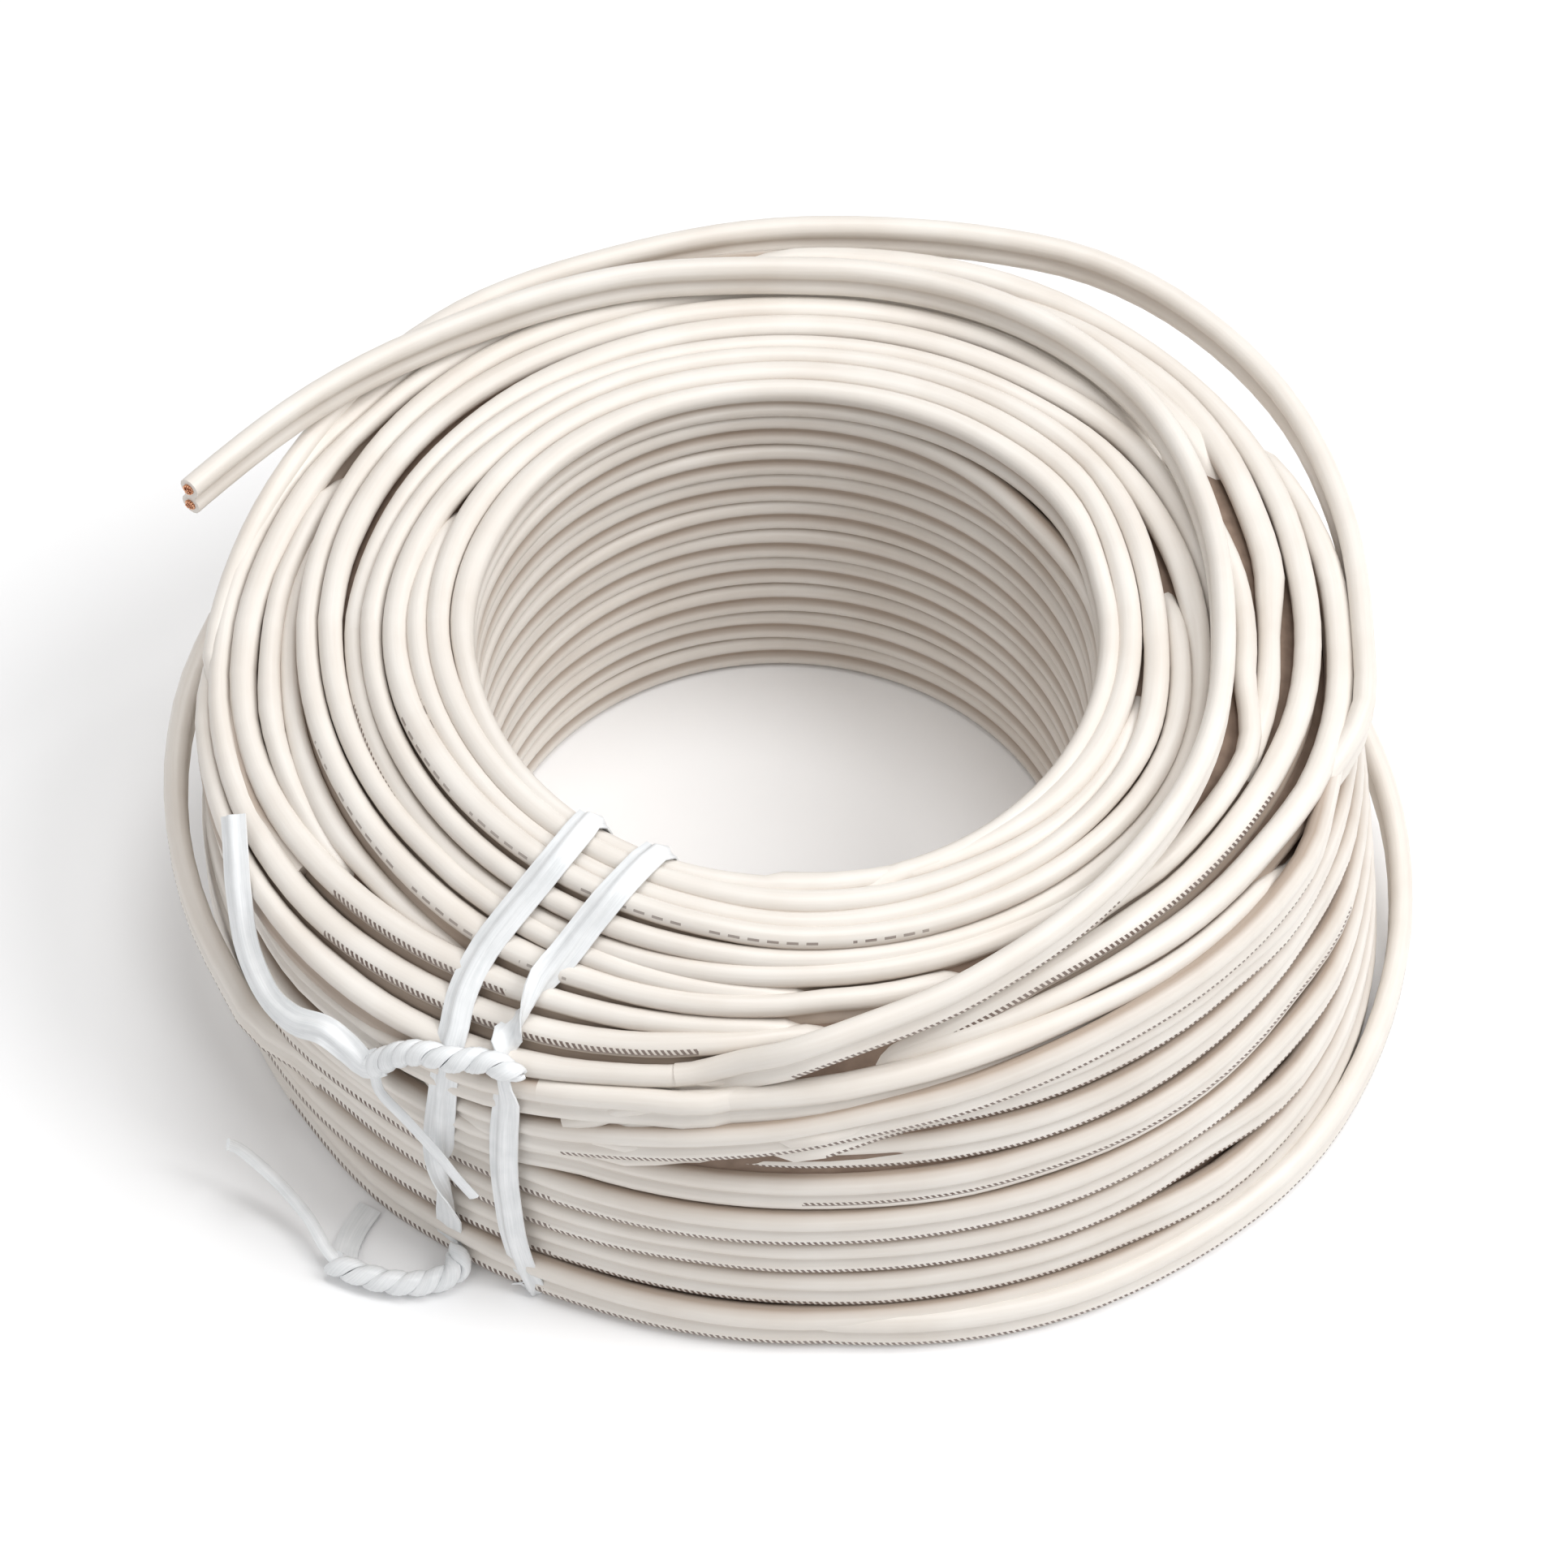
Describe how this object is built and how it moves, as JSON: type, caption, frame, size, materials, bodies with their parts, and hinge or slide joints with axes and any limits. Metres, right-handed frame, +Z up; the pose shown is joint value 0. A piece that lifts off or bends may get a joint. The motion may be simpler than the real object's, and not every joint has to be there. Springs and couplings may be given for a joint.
{
  "type": "coil of electrical wire",
  "caption": "Coil of ivory flat twin electrical wire with an open bore, its free end lying on top, held by two white plastic twist ties.",
  "frame": {"origin": "centre of the whole part's box, at the floor the coil lies on", "axes": "+Z up along the bore; -Y towards the front in the picture, where the two ties are a little left of the middle; +X to the picture's right"},
  "size_m": [0.26, 0.2294, 0.0977],
  "materials": {
    "insulation": "satin ivory PVC",
    "tie": "white plastic ribbon",
    "copper": "bare cut copper"
  },
  "bodies": {
    "root": {"wire_coil": "insulation", "free_end": "insulation", "loose_turn_back": "insulation", "loose_turn_left": "insulation", "loose_turn_right": "insulation", "copper_core_upper": "copper", "copper_core_lower": "copper", "twist_tie_lower": "tie", "twist_tie_upper": "tie"}
  },
  "joints": []
}
